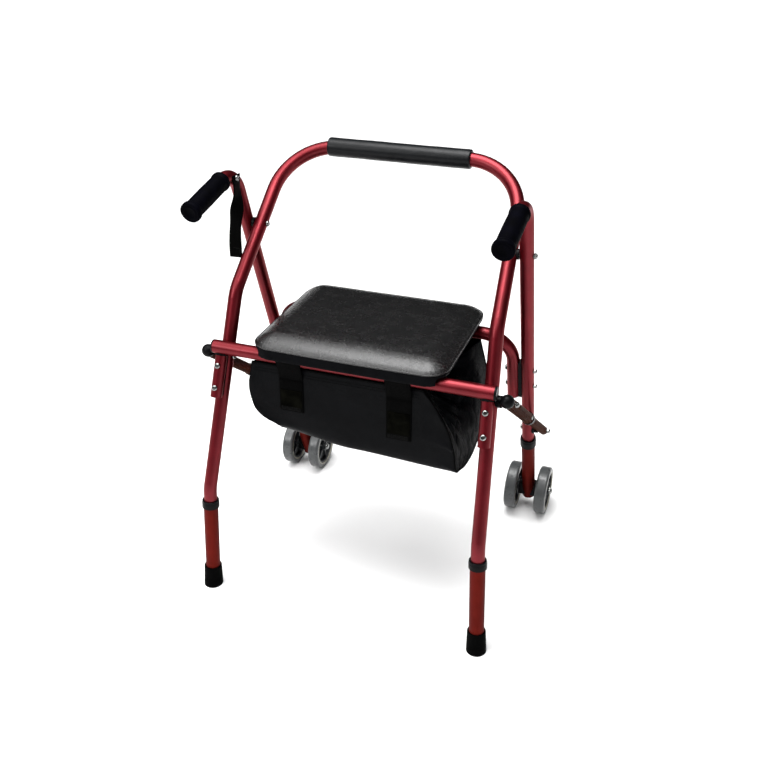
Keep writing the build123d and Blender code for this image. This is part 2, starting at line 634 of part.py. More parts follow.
with BuildPart() as seat_board:
    with BuildSketch(Plane(origin=(0, seat_mid_y, SEAT_BOTTOM_Z))):
        RectangleRounded(2 * SEAT_HALF_WIDTH - 8, seat_depth - 8, SEAT_CORNER_R - 4)
    extrude(amount=BOARD_THICK)
save(seat_board.part, "seat_board")

cushion_mid_y = (CUSHION_REAR_Y + SEAT_FRONT_Y) / 2
cushion_size = (2 * SEAT_HALF_WIDTH, SEAT_FRONT_Y - CUSHION_REAR_Y)
cushion_bottom = board_top + HUG
with BuildPart() as seat_cushion:
    with BuildSketch(Plane(origin=(0, cushion_mid_y, cushion_bottom))):
        RectangleRounded(*cushion_size, CUSHION_CORNER_R)
    extrude(amount=CUSHION_THICK)
    with BuildSketch(Plane(origin=(0, cushion_mid_y, LIP_BOTTOM_Z))):
        RectangleRounded(*cushion_size, CUSHION_CORNER_R)
        with Locations((0, LIP_THICK)):
            Rectangle(*cushion_size, mode=Mode.SUBTRACT)
    extrude(amount=cushion_bottom + 1 - LIP_BOTTOM_Z)
    fillet(seat_cushion.faces().sort_by(Axis.Z)[-1].edges(), 10.0)
    fillet(seat_cushion.faces().sort_by(Axis.Z)[0].edges(), 3.0)
save(seat_cushion.part, "seat_cushion")

CLIP_R = TUBE_R + 4.0
CLIP_WIDTH = 26.0
REST_HEIGHT = SEAT_BOTTOM_Z - HUG - (REAR_BAR.Z + TUBE_R + PLAY)
with BuildPart() as seat_mounts:
    bar_centre = (SEAT_CLIP_X, FRONT_BAR.Y, FRONT_BAR.Z)
    with BuildSketch(Plane(origin=bar_centre, x_dir=Vector(0, 1, 0), z_dir=X)):
        Circle(CLIP_R)
        with Locations((0, (SEAT_BOTTOM_Z - HUG - FRONT_BAR.Z) / 2)):
            Rectangle(1.7 * CLIP_R, SEAT_BOTTOM_Z - HUG - FRONT_BAR.Z)
        Circle(TUBE_R + PLAY, mode=Mode.SUBTRACT)
        with Locations((0, -CLIP_R)):
            Rectangle(1.3 * TUBE_R, CLIP_R, mode=Mode.SUBTRACT)
    extrude(amount=CLIP_WIDTH / 2, both=True)
    with BuildSketch(Plane(origin=(SEAT_REST_X, REAR_BAR.Y, REAR_BAR.Z + TUBE_R + PLAY))):
        RectangleRounded(30.0, 12.0, 3.0)
    extrude(amount=REST_HEIGHT)
save_both(seat_mounts.part, "seat_mounts")

# ------------------------------------------------------------------------- bag
BAG_HALF_WIDTH = 197.0
BAG_CLOTH = 2.5
bag_outline = [
    (-168, 486), (-172, 350), (-150, 318), (-100, 300), (-40, 296),
    (20, 306), (62, 334), (78, 372), (76, 410), (46, 478),
]
with BuildPart() as bag:
    with BuildSketch(Plane.YZ):
        with BuildLine():
            Polyline(*bag_outline, close=True)
        make_face()
    extrude(amount=BAG_HALF_WIDTH, both=True)
    mouth = bag.faces().sort_by(Axis.Z)[-1]
    sides = bag.faces().filter_by(Axis.X)
    fillet([edge for side in sides for edge in side.edges() if edge.center().Z < 476], 9.0)
    offset(amount=-BAG_CLOTH, openings=bag.faces().sort_by(Axis.Z)[-1])
save(bag.part, "bag")

STRAP_WIDTH = 48.0
STRAP_THICK = 1.4


def bar_loops(bar, places, width, tail):
    """Webbing looped round a crossbar, with a tail that runs along the bag."""
    inner = TUBE_R + 2 * HUG
    back = [(y + STRAP_THICK, z) for y, z in reversed(tail)]
    with BuildPart() as loops:
        for x in places:
            centre = (x, bar.Y, bar.Z)
            with BuildSketch(Plane(origin=centre, x_dir=Vector(0, 1, 0), z_dir=X)):
                Circle(inner + STRAP_THICK)
            extrude(amount=width / 2, both=True)
            with BuildSketch(Plane.YZ.offset(x)):
                with BuildLine():
                    Polyline(*tail, *back, close=True)
                make_face()
            extrude(amount=width / 2, both=True)
        span = Vector(300, bar.Y, bar.Z)
        add(rod(mirrored(span), span, inner), mode=Mode.SUBTRACT)
    return loops.part


rear_edge = REAR_BAR.Y - TUBE_R - STRAP_THICK
rear_tail = [(rear_edge, 505.0), (rear_edge + 3, 492.0), (-174.5, 468.0), (-175.2, 380.0)]
rear_loops = bar_loops(REAR_BAR, (-112.0, 96.0), STRAP_WIDTH, rear_tail)
save(rear_loops, "bag_rear_straps")

front_edge = FRONT_BAR.Y - TUBE_R - 2 * HUG
front_tail = [(front_edge - 1.2, 496.0), (front_edge - 3.0, 479.0)]
front_loops = bar_loops(FRONT_BAR, (-70.0, 0.0, 70.0), 26.0, front_tail)
save(front_loops, "bag_front_straps")

# ------------------------------------------------------------------ hand strap
hook_left = mirrored(HOOK_BOLT)
strap_face = hook_left.X + TUBE_R + HUG
hanging_outline = [
    (strap_face + HOOK_STRAP_THICK, 774.0), (strap_face + HOOK_STRAP_THICK, 740.0),
    (-257.8, 690.0), (-257.8, 642.0), (-279.0, 642.0), (-279.0, 700.0), (-268.0, 774.0),
]
with BuildPart() as hand_strap:
    tab_plane = Plane(origin=(strap_face, hook_left.Y, hook_left.Z), x_dir=Vector(0, 1, 0), z_dir=X)
    with BuildSketch(tab_plane):
        with Locations((0, -7)):
            RectangleRounded(22.0, 38.0, 4.0)
        Circle(BOLT_HOLE_R, mode=Mode.SUBTRACT)
    extrude(amount=HOOK_STRAP_THICK)
    with BuildSketch(Plane.XZ.offset(-hook_left.Y)):
        with BuildLine():
            Polyline(*hanging_outline, close=True)
        make_face()
    extrude(amount=HOOK_STRAP_THICK / 2, both=True)
save(hand_strap.part, "hand_strap")
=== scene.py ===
import json
import math

import bmesh
import bpy
import numpy as np
from mathutils import Matrix, Vector, noise
from mathutils.bvhtree import BVHTree


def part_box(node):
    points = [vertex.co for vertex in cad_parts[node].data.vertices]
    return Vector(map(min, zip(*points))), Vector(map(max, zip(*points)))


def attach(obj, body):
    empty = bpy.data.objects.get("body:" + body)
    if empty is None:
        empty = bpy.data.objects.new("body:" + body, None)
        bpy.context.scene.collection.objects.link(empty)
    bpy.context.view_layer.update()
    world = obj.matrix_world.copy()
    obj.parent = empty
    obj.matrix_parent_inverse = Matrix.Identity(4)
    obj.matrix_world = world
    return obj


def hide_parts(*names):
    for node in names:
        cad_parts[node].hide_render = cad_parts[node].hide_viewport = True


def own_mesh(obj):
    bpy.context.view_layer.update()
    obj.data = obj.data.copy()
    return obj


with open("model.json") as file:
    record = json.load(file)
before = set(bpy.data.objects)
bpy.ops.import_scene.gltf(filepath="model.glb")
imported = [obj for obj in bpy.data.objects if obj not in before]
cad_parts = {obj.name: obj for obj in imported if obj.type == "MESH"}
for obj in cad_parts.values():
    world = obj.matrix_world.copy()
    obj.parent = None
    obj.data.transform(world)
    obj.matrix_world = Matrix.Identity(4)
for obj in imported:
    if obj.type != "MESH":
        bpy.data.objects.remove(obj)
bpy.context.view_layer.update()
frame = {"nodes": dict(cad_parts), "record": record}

# Looks for the folding rollator walker. Metres, in the frame of the CAD model:
# origin on the floor, +X to the user's right, +Y forward, +Z up.
MM = 0.001
SIDES = {"right": 1, "left": -1}


# ------------------------------------------------------------------ placing
def node_points(node):
    """A CAD node's vertices as an array."""
    mesh = frame["nodes"][node].data
    points = np.zeros(len(mesh.vertices) * 3)
    mesh.vertices.foreach_get("co", points)
    return points.reshape(-1, 3)


def spine(node):
    """Both ends of a long round node's axis, the rearmost end first."""
    points = node_points(node)
    centre = points.mean(0)
    axis = np.linalg.svd(points - centre, full_matrices=False)[2][0]
    if axis[1] < 0:
        axis = -axis
    along = (points - centre) @ axis
    centre = centre + axis * (along.max() + along.min()) / 2
    half = (along.max() - along.min()) / 2
    return Vector(centre - axis * half), Vector(centre + axis * half)


def bar_of(node):
    """(y, z, radius) of a crossbar that runs along X, at its middle."""
    points = node_points(node)
    middle = points[np.abs(points[:, 0]) < 0.15]
    if len(middle) == 0:
        middle = points[points[:, 2] > points[:, 2].max() - 0.03]
    low, high = middle.min(0), middle.max(0)
    return (low[1] + high[1]) / 2, (low[2] + high[2]) / 2, (high[2] - low[2]) / 2


# ------------------------------------------------------------------- meshes
def new_piece(name, points, faces, uvs=None):
    """Mesh object from points and faces; uvs is one (u, v) for each point."""
    mesh = bpy.data.meshes.new(name)
    mesh.from_pydata([tuple(p) for p in points], [], faces)
    if uvs is not None:
        layer = mesh.uv_layers.new(name="UVMap")
        for loop in mesh.loops:
            layer.data[loop.index].uv = uvs[loop.vertex_index]
    mesh.polygons.foreach_set("use_smooth", [True] * len(mesh.polygons))
    mesh.update()
    piece = bpy.data.objects.new(name, mesh)
    bpy.context.scene.collection.objects.link(piece)
    return piece


def baked(piece):
    """Apply a piece's modifiers to its mesh."""
    graph = bpy.context.evaluated_depsgraph_get()
    graph.update()
    mesh = bpy.data.meshes.new_from_object(piece.evaluated_get(graph))
    piece.modifiers.clear()
    piece.data = mesh
    mesh.polygons.foreach_set("use_smooth", [True] * len(mesh.polygons))
    return piece


def subdivided(piece, levels=1):
    modifier = piece.modifiers.new("smooth", "SUBSURF")
    modifier.levels = levels
    modifier.render_levels = levels
    return baked(piece)


def grid_piece(name, grid, thick):
    """Closed thin solid from a grid of points, rows by columns, with UVs in metres."""
    grid = np.asarray(grid, float)
    rows, columns = grid.shape[:2]
    across = np.linalg.norm(np.diff(grid[rows // 2], axis=0), axis=1)
    along = np.linalg.norm(np.diff(grid[:, columns // 2], axis=0), axis=1)
    u = np.concatenate([[0], np.cumsum(across)])
    v = np.concatenate([[0], np.cumsum(along)])
    uvs = [(u[c], v[r]) for r in range(rows) for c in range(columns)]
    faces = []
    for r in range(rows - 1):
        for c in range(columns - 1):
            a = r * columns + c
            faces.append((a, a + 1, a + columns + 1, a + columns))
    piece = new_piece(name, grid.reshape(-1, 3), faces, uvs)
    shell = piece.modifiers.new("cloth_thickness", "SOLIDIFY")
    shell.thickness = thick
    shell.offset = 0
    return baked(piece)


def lathe(name, start, end, profile, sides=64, ripple=None):
    """Closed solid of revolution about start-end. profile is (along, radius) points, round to its start."""
    axis = (end - start).normalized()
    first = axis.orthogonal().normalized()
    second = axis.cross(first)
    points = []
    for along, radius in profile:
        for side in range(sides):
            turn = 2 * math.pi * side / sides
            reach = radius + (ripple(along, turn) if ripple else 0)
            out = first * math.cos(turn) + second * math.sin(turn)
            points.append(start + axis * along + out * reach)
    rings = len(profile)
    faces = []
    for ring in range(rings):
        for side in range(sides):
            a = ring * sides + side
            b = ring * sides + (side + 1) % sides
            c = ((ring + 1) % rings) * sides + (side + 1) % sides
            d = ((ring + 1) % rings) * sides + side
            faces.append((a, b, c, d))
    return new_piece(name, points, faces)


def rounded_profile(length, radius, bore, rounding, swell=None, steps=40):
    """Profile of a sleeve with rounded rims; swell adds to its outer radius along it."""
    outer = []
    for i in range(7):
        turn = math.pi / 2 * i / 6
        outer.append((rounding * (1 - math.sin(turn)), radius - rounding * (1 - math.cos(turn))))
    rim = outer[::-1]
    middle = []
    for i in range(1, steps):
        middle.append((rounding + (length - 2 * rounding) * i / steps, radius))
    far = [(length - a, r) for a, r in reversed(rim)]
    profile = [(0, bore)] + rim + middle + far + [(length, bore)]
    if swell is None:
        return profile
    return [(a, r + (swell(a) if r > bore else 0)) for a, r in profile]


def tube_along(name, points, radius, sides=8, closed=False):
    """Round cord through points."""
    points = [Vector(p) for p in points]
    count = len(points)
    verts = []
    normal = None
    for i, p in enumerate(points):
        before = points[i - 1] if (i > 0 or closed) else points[i]
        after = points[(i + 1) % count] if (i < count - 1 or closed) else points[i]
        tangent = (after - before).normalized()
        normal = tangent.orthogonal() if normal is None else normal - tangent * normal.dot(tangent)
        normal.normalize()
        side_way = tangent.cross(normal)
        for k in range(sides):
            turn = 2 * math.pi * k / sides
            verts.append(p + (normal * math.cos(turn) + side_way * math.sin(turn)) * radius)
    faces = []
    for i in range(count if closed else count - 1):
        j = (i + 1) % count
        for k in range(sides):
            n = (k + 1) % sides
            faces.append((i * sides + k, i * sides + n, j * sides + n, j * sides + k))
    if not closed:
        faces.append(tuple(reversed(range(sides))))
        faces.append(tuple((count - 1) * sides + k for k in range(sides)))
    return new_piece(name, verts, faces)


def webbing(name, centres, across, width, thick):
    """Flat woven strap along centres; across gives the way of its width at each point."""
    shares = (-1.0, -0.97, -0.6, 0.0, 0.6, 0.97, 1.0)
    section = [(a, 0.5 if abs(a) < 1 else 0.0) for a in shares]
    section += [(a, -0.5) for a in reversed(shares) if abs(a) < 1]
    centres = [Vector(p) for p in centres]
    points, uvs = [], []
    run = 0.0
    for i, centre in enumerate(centres):
        before, after = centres[max(i - 1, 0)], centres[min(i + 1, len(centres) - 1)]
        if i > 0:
            run += (centre - before).length
        side_way = Vector(across[i]).normalized()
        face_way = (after - before).cross(side_way).normalized()
        for a, b in section:
            points.append(centre + side_way * a * width / 2 + face_way * b * thick)
            uvs.append((a * width / 2, run))
    count = len(section)
    faces = []
    for i in range(len(centres) - 1):
        for k in range(count):
            n = (k + 1) % count
            faces.append((i * count + k, i * count + n, (i + 1) * count + n, (i + 1) * count + k))
    faces.append(tuple(reversed(range(count))))
    faces.append(tuple((len(centres) - 1) * count + k for k in range(count)))
    return new_piece(name, points, faces, uvs)


def stitches(name, runs, pitch=3.6 * MM, length=2.6 * MM, radius=0.32 * MM):
    """Rows of sewn thread: each run is a list of points, and each stitch a small bead."""
    points, faces = [], []
    for run in runs:
        run = [Vector(p) for p in run]
        steps = [0.0]
        for a, b in zip(run, run[1:]):
            steps.append(steps[-1] + (b - a).length)
        count = int(steps[-1] / pitch)
        for i in range(count):
            ends = []
            for offset in (0.0, length):
                at = min(i * pitch + offset, steps[-1])
                k = max(j for j in range(len(run) - 1) if steps[j] <= at)
                share = (at - steps[k]) / max(steps[k + 1] - steps[k], 1e-9)
                ends.append(run[k].lerp(run[k + 1], share))
            way = (ends[1] - ends[0]).normalized()
            first = way.orthogonal().normalized()
            second = way.cross(first)
            base = len(points)
            for share, swell in ((0.0, 0.35), (0.25, 1.0), (0.75, 1.0), (1.0, 0.35)):
                for k in range(6):
                    turn = math.pi * k / 3
                    out = (first * math.cos(turn) + second * math.sin(turn)) * radius * swell
                    points.append(ends[0].lerp(ends[1], share) + out)
            for ring in range(3):
                for k in range(6):
                    n = (k + 1) % 6
                    low, high = base + ring * 6, base + ring * 6 + 6
                    faces.append((low + k, low + n, high + n, high + k))
            faces.append(tuple(base + k for k in reversed(range(6))))
            faces.append(tuple(base + 18 + k for k in range(6)))
    return new_piece(name, points, faces)


def smooth_step(value):
    value = min(1.0, max(0.0, value))
    return value * value * (3 - 2 * value)


def curve_point(controls, at):
    """Point of the smooth curve through control points, which passes control i at place i."""
    pts = [np.array(c, float) for c in controls]
    pts = [2 * pts[0] - pts[1]] + pts + [2 * pts[-1] - pts[-2]]
    k = min(int(at), len(pts) - 4)
    t = at - k
    a, b, c, d = pts[k:k + 4]
    bend, twist = 2 * a - 5 * b + 4 * c - d, 3 * b - a - 3 * c + d
    return 0.5 * (2 * b + (c - a) * t + bend * t**2 + twist * t**3)


def spline(controls, count):
    """Smooth curve through control points, evenly sampled in its parameter."""
    last = len(controls) - 1
    return np.array([curve_point(controls, i / (count - 1) * last) for i in range(count)])


# ---------------------------------------------------------------- materials
def node(tree, kind, props=None, **inputs):
    """Add a shader node; an input may be a value or another node's output."""
    made = tree.nodes.new(kind)
    for key, value in (props or {}).items():
        setattr(made, key, value)
    for key, value in inputs.items():
        socket = made.inputs[key.replace("_", " ")]
        if isinstance(value, bpy.types.NodeSocket):
            tree.links.new(value, socket)
        else:
            socket.default_value = value
    return made


def ramp(tree, factor, stops):
    """Colour ramp; each stop is (place, grey value or rgb)."""
    made = tree.nodes.new("ShaderNodeValToRGB")
    tree.links.new(factor, made.inputs["Fac"])
    elements = made.color_ramp.elements
    while len(elements) < len(stops):
        elements.new(0.5)
    for element, (place, value) in zip(elements, stops):
        element.position = place
        rgb = (value,) * 3 if isinstance(value, (int, float)) else value
        element.color = (*rgb, 1)
    return made.outputs["Color"]


def maths(tree, operation, first, second=0.0):
    made = tree.nodes.new("ShaderNodeMath")
    made.operation = operation
    for socket, value in zip(made.inputs, (first, second)):
        if isinstance(value, bpy.types.NodeSocket):
            tree.links.new(value, socket)
        else:
            socket.default_value = value
    return made.outputs["Value"]


def stretched(tree, coordinates, scale):
    """Coordinates scaled differently along each axis."""
    return node(tree, "ShaderNodeMapping", Vector=coordinates, Scale=scale).outputs["Vector"]


def grain(tree, coordinates, scale, detail=2.0, distortion=0.0):
    made = node(tree, "ShaderNodeTexNoise", Vector=coordinates, Scale=scale,
                Detail=detail, Distortion=distortion)
    return made.outputs["Fac"]


def bumped(tree, height, depth, strength=1.0, under=None):
    """Bump normal from a height; depth is in metres."""
    made = node(tree, "ShaderNodeBump", Height=height, Distance=depth, Strength=strength)
    if under is not None:
        tree.links.new(under, made.inputs["Normal"])
    return made.outputs["Normal"]


def new_material(name, **settings):
    """Principled material; returns it with its tree, shader and object coordinates."""
    made = bpy.data.materials.new(name)
    made.use_nodes = True
    tree = made.node_tree
    shader = tree.nodes["Principled BSDF"]
    for key, value in settings.items():
        shader.inputs[key.replace("_", " ")].default_value = value
    coordinates = tree.nodes.new("ShaderNodeTexCoord")
    return made, tree, shader, coordinates


def feed(tree, shader, color=None, roughness=None, normal=None):
    for key, value in (("Base Color", color), ("Roughness", roughness), ("Normal", normal)):
        if value is not None:
            tree.links.new(value, shader.inputs[key])


def paint(name, deep, bright, metallic, rough, coat, rim):
    """Sprayed metallic finish: colour drifts a little, fine flake, faint orange peel and scuffs."""
    made, tree, shader, spot = new_material(
        name, Metallic=metallic, Coat_Weight=coat, Coat_Roughness=0.3, Specular_IOR_Level=0.15,
        Specular_Tint=(*rim, 1.0))
    at = spot.outputs["Object"]
    color = ramp(tree, grain(tree, at, 22.0, 3.0), [(0.3, deep), (0.7, bright)])
    flake = grain(tree, at, 3200.0, 1.0)
    scuff = grain(tree, stretched(tree, at, (260.0, 260.0, 40.0)), 1.0, 4.0, 0.6)
    scuff = ramp(tree, scuff, [(0.62, rough), (0.74, rough + 0.16)])
    roughness = maths(tree, "ADD", scuff, maths(tree, "MULTIPLY", flake, 0.08))
    peel = bumped(tree, grain(tree, at, 420.0, 2.0), 0.05 * MM, 0.5)
    feed(tree, shader, color, roughness, bumped(tree, flake, 0.02 * MM, 0.5, peel))
    return made


def moulded(name, deep, bright, rough, fine=1300.0, depth=0.05, specular=0.5):
    """Moulded plastic or rubber: spark-eroded grain and handling marks."""
    made, tree, shader, spot = new_material(name, Specular_IOR_Level=specular)
    at = spot.outputs["Object"]
    color = ramp(tree, grain(tree, at, 45.0, 4.0), [(0.35, deep), (0.7, bright)])
    marks = ramp(tree, grain(tree, at, 90.0, 5.0, 0.8), [(0.4, rough), (0.7, rough + 0.14)])
    soft = bumped(tree, grain(tree, at, 130.0, 2.0), 0.08 * MM, 0.4)
    feed(tree, shader, color, marks, bumped(tree, grain(tree, at, fine, 3.0), depth * MM, 0.8, soft))
    return made


def plated(name):
    """Bright zinc plate: drawing lines in its gloss."""
    made, tree, shader, spot = new_material(name, Metallic=1.0, Anisotropic=0.2)
    at = spot.outputs["Object"]
    color = ramp(tree, grain(tree, at, 160.0, 3.0), [(0.3, (0.17, 0.18, 0.18)), (0.7, (0.3, 0.3, 0.29))])
    lines = grain(tree, stretched(tree, at, (300.0, 2200.0, 2200.0)), 1.0, 2.0)
    roughness = ramp(tree, lines, [(0.3, 0.16), (0.7, 0.3)])
    feed(tree, shader, color, roughness, bumped(tree, lines, 0.015 * MM, 0.6))
    return made


def leather(name):
    """Glossy embossed vinyl: cells of grain with creases between, over soft pull lines."""
    made, tree, shader, spot = new_material(
        name, Specular_IOR_Level=0.42, Coat_Weight=0.1, Coat_Roughness=0.2)
    at = spot.outputs["Object"]
    wander = node(tree, "ShaderNodeTexNoise", Vector=at, Scale=240.0, Detail=2.0)
    shift = node(tree, "ShaderNodeVectorMath", {"operation": "MULTIPLY_ADD"})
    tree.links.new(wander.outputs["Color"], shift.inputs[0])
    shift.inputs[1].default_value = (0.0016, 0.0016, 0.0016)
    tree.links.new(at, shift.inputs[2])
    cells = node(tree, "ShaderNodeTexVoronoi", {"feature": "DISTANCE_TO_EDGE"},
                 Vector=shift.outputs["Vector"], Scale=620.0)
    creases = ramp(tree, cells.outputs["Distance"], [(0.0, 0.0), (0.12, 0.75), (0.45, 1.0)])
    shades = [(0.3, (0.0020, 0.0020, 0.0021)), (0.7, (0.0034, 0.0034, 0.0035))]
    color = ramp(tree, grain(tree, at, 30.0, 3.0), shades)
    roughness = ramp(tree, grain(tree, at, 70.0, 4.0), [(0.35, 0.22), (0.7, 0.31)])
    pulls = bumped(tree, grain(tree, stretched(tree, at, (55.0, 18.0, 55.0)), 1.0, 3.0), 0.8 * MM, 0.35)
    drawn = grain(tree, stretched(tree, at, (460.0, 130.0, 260.0)), 1.0, 2.0)
    strokes = bumped(tree, drawn, 0.26 * MM, 0.6, pulls)
    fine = bumped(tree, grain(tree, at, 2400.0, 2.0), 0.04 * MM, 0.6, strokes)
    feed(tree, shader, color, roughness, bumped(tree, creases, 0.16 * MM, 0.8, fine))
    return made


def woven(name, deep, bright, pitch, rough, crumple, specular, ribs=(1.0, 1.0)):
    """Woven cloth from its own UVs in metres: over-and-under threads, fuzz and soft creases."""
    made, tree, shader, spot = new_material(name, Specular_IOR_Level=specular)
    axes = node(tree, "ShaderNodeSeparateXYZ", Vector=spot.outputs["UV"])
    turn = 2 * math.pi / pitch
    along = maths(tree, "SINE", maths(tree, "MULTIPLY", axes.outputs["X"], turn * ribs[0]))
    over = maths(tree, "SINE", maths(tree, "MULTIPLY", axes.outputs["Y"], turn * ribs[1]))
    weave = maths(tree, "MULTIPLY_ADD", maths(tree, "MULTIPLY", along, over), 0.5)
    weave.node.inputs[2].default_value = 0.5
    at = spot.outputs["Object"]
    blotch = grain(tree, at, 26.0, 4.0)
    woven_share, blotch_share = maths(tree, "MULTIPLY", weave, 0.25), maths(tree, "MULTIPLY", blotch, 0.75)
    color = ramp(tree, maths(tree, "ADD", woven_share, blotch_share), [(0.3, deep), (0.75, bright)])
    roughness = ramp(tree, blotch, [(0.3, rough), (0.7, rough + 0.12)])
    creases = bumped(tree, grain(tree, at, 34.0, 5.0, 0.7), crumple * MM, 0.6)
    fuzz = bumped(tree, grain(tree, at, 1800.0, 2.0), 0.06 * MM, 0.5, creases)
    feed(tree, shader, color, roughness, bumped(tree, weave, 0.18 * MM, 0.7, fuzz))
    return made


def foam(name):
    """Closed-cell foam with a skin: pits, a satin bloom and slight unevenness."""
    made, tree, shader, spot = new_material(name, Specular_IOR_Level=0.14)
    at = spot.outputs["Object"]
    shades = [(0.3, (0.0012, 0.0015, 0.002)), (0.7, (0.003, 0.0034, 0.0042))]
    color = ramp(tree, grain(tree, at, 60.0, 4.0), shades)
    pits = node(tree, "ShaderNodeTexVoronoi", Vector=at, Scale=1500.0).outputs["Distance"]
    dents = bumped(tree, grain(tree, stretched(tree, at, (40.0, 120.0, 120.0)), 1.0, 3.0), 0.5 * MM, 0.4)
    roughness = ramp(tree, grain(tree, at, 150.0, 3.0), [(0.3, 0.3), (0.7, 0.4)])
    feed(tree, shader, color, roughness, bumped(tree, pits, 0.09 * MM, 0.7, dents))
    return made


def tyre_rubber(name, centre, rim_radius):
    """Smooth grey tread whose side turns cream by the rim, with scuffs round the tread."""
    made, tree, shader, spot = new_material(
        name, Specular_IOR_Level=0.4, Coat_Weight=0.1, Coat_Roughness=0.2)
    at = spot.outputs["Object"]
    axes = node(tree, "ShaderNodeSeparateXYZ", Vector=at)
    sideways = maths(tree, "SUBTRACT", axes.outputs["Y"], centre[0])
    upward = maths(tree, "SUBTRACT", axes.outputs["Z"], centre[1])
    squares = maths(
        tree, "ADD", maths(tree, "MULTIPLY", sideways, sideways), maths(tree, "MULTIPLY", upward, upward))
    radius = maths(tree, "SUBTRACT", maths(tree, "SQRT", squares), rim_radius)
    band = maths(tree, "MULTIPLY", radius, 1 / (12 * MM))
    scuff = maths(tree, "MULTIPLY", grain(tree, at, 80.0, 5.0, 0.5), 0.1)
    color = ramp(tree, maths(tree, "ADD", band, maths(tree, "SUBTRACT", scuff, 0.05)),
                 [(0.0, (0.30, 0.28, 0.22)), (0.2, (0.26, 0.25, 0.2)),
                  (0.3, (0.062, 0.066, 0.066)), (1.0, (0.05, 0.053, 0.054))])
    roughness = ramp(tree, grain(tree, at, 120.0, 5.0, 0.6), [(0.35, 0.26), (0.7, 0.46)])
    feed(tree, shader, color, roughness, bumped(tree, grain(tree, at, 700.0, 3.0), 0.04 * MM, 0.6))
    return made


wheel_low, wheel_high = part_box("tyre_outer_right")
wheel_centre = (wheel_low + wheel_high) / 2
hub_low, hub_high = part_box("hub_outer_right")
MATERIALS = {
    "frame_paint": paint(
        "burgundy_paint", (0.098, 0.0030, 0.0062), (0.138, 0.0052, 0.0105), 0.93, 0.38, 0.3,
        (0.75, 0.26, 0.34)),
    "leg_paint": paint(
        "dark_red_paint", (0.070, 0.0054, 0.0034), (0.098, 0.0076, 0.005), 0.5, 0.46, 0.0, (0.5, 0.12, 0.1)),
    "link_paint": paint(
        "bronze_paint", (0.050, 0.0175, 0.0072), (0.078, 0.028, 0.0115), 0.88, 0.4, 0.0, (0.2, 0.09, 0.05)),
    "black_plastic": moulded(
        "black_plastic", (0.0022, 0.0022, 0.0026), (0.004, 0.004, 0.0045), 0.28, specular=0.05),
    "bright_steel": plated("zinc_plate"),
    "foam": foam("foam_skin"),
    "grip_rubber": moulded(
        "grip_rubber", (0.0008, 0.0008, 0.0012), (0.0012, 0.0012, 0.0025), 0.5, 1900.0, 0.06, 0.008),
    "tip_rubber": moulded(
        "tip_rubber", (0.001, 0.001, 0.001), (0.0012, 0.0012, 0.0012), 0.5, 900.0, 0.08, 0.008),
    "tyre": tyre_rubber("grey_tyre", (wheel_centre.y, wheel_centre.z), (hub_high.z - hub_low.z) / 2),
    "hub_plastic": moulded("hub_plastic", (0.014, 0.016, 0.018), (0.024, 0.027, 0.03), 0.4, specular=0.4),
    "seat_vinyl": leather("seat_vinyl"),
    # Seat side band: a duller copy of the seat vinyl; its darker colour is painted shade on the seat's sides.
    "seat_band": moulded(
        "seat_band", (0.0006, 0.0007, 0.001), (0.0016, 0.0018, 0.0025), 0.55, 1500.0, 0.1, 0.03),
    "seat_board": moulded(
        "seat_board", (0.003, 0.003, 0.003), (0.006, 0.006, 0.006), 0.55, 500.0, 0.12, 0.2),
    "bag_nylon": woven(
        "bag_nylon", (0.0014, 0.0015, 0.0018), (0.0034, 0.0036, 0.0042), 0.9 * MM, 0.28, 1.4, 0.025),
    # Bag side panels: a duller copy of the bag nylon; its darker colour is painted shade on the gussets.
    "bag_side": woven(
        "bag_side", (0.0002, 0.0003, 0.0006), (0.0008, 0.0010, 0.0017), 0.9 * MM, 0.24, 2.0, 0.003),
    "hook_pile": moulded(
        "hook_pile", (0.0004, 0.0004, 0.0002), (0.003, 0.003, 0.002), 0.7, 900.0, 0.5, 0.01),
    "webbing": woven(
        "webbing", (0.0004, 0.0004, 0.0004), (0.0013, 0.0013, 0.0013), 1.9 * MM, 0.5, 0.4, 0.012, (0.5, 1.0)),
}
for row in frame["record"]["subparts"]:
    cad_mesh = frame["nodes"][row["node"]].data
    cad_mesh.materials.clear()
    cad_mesh.materials.append(MATERIALS[row["material_slot"]])


def dressed(piece, body, slot, *stands_for, material=None):
    """Give a piece its material, the body it rides on and the nodes it stands for."""
    piece.data.materials.clear()
    piece.data.materials.append(material or MATERIALS[slot])
    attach(piece, body)
    if stands_for:
        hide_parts(*stands_for)
    return piece


# --------------------------------------------------------------------- seat
SEAT_CORNER = 39 * MM
LIP_THICK = 10.2 * MM
SEAM_HEIGHT = 12.2 * MM  # seam and piping, above the underside of the board
CROWN = 17.2 * MM
CROWN_REACH = 50 * MM    # width of the crowned border
EDGE_SAG = 1.6 * MM      # how far the near edge droops at its middle
SAG_REACH = 60 * MM


def rounded_outline(half_x, half_y, radius, steps):
    """Corner-rounded rectangle about the origin, counter-clockwise."""
    outline = []
    for corner, (sx, sy) in enumerate(((1, 1), (-1, 1), (-1, -1), (1, -1))):
        for i in range(steps + 1):
            turn = math.pi / 2 * (corner + i / steps)
            x = sx * (half_x - radius) + radius * math.cos(turn)
            y = sy * (half_y - radius) + radius * math.sin(turn)
            outline.append((x, y))
    return outline


def add_prism(points, faces, outline, levels):
    """Add a closed prism; levels is (z, inset share) from its bottom to its top."""
    first, count = len(points), len(outline)
    for z, share in levels:
        points += [(x * share, y * share, z) for x, y in outline]
    for ring in range(len(levels) - 1):
        base = first + ring * count
        for k in range(count):
            n = (k + 1) % count
            faces.append((base + k, base + n, base + count + n, base + count + k))
    faces.append(tuple(first + k for k in reversed(range(count))))
    faces.append(tuple(first + (len(levels) - 1) * count + k for k in range(count)))


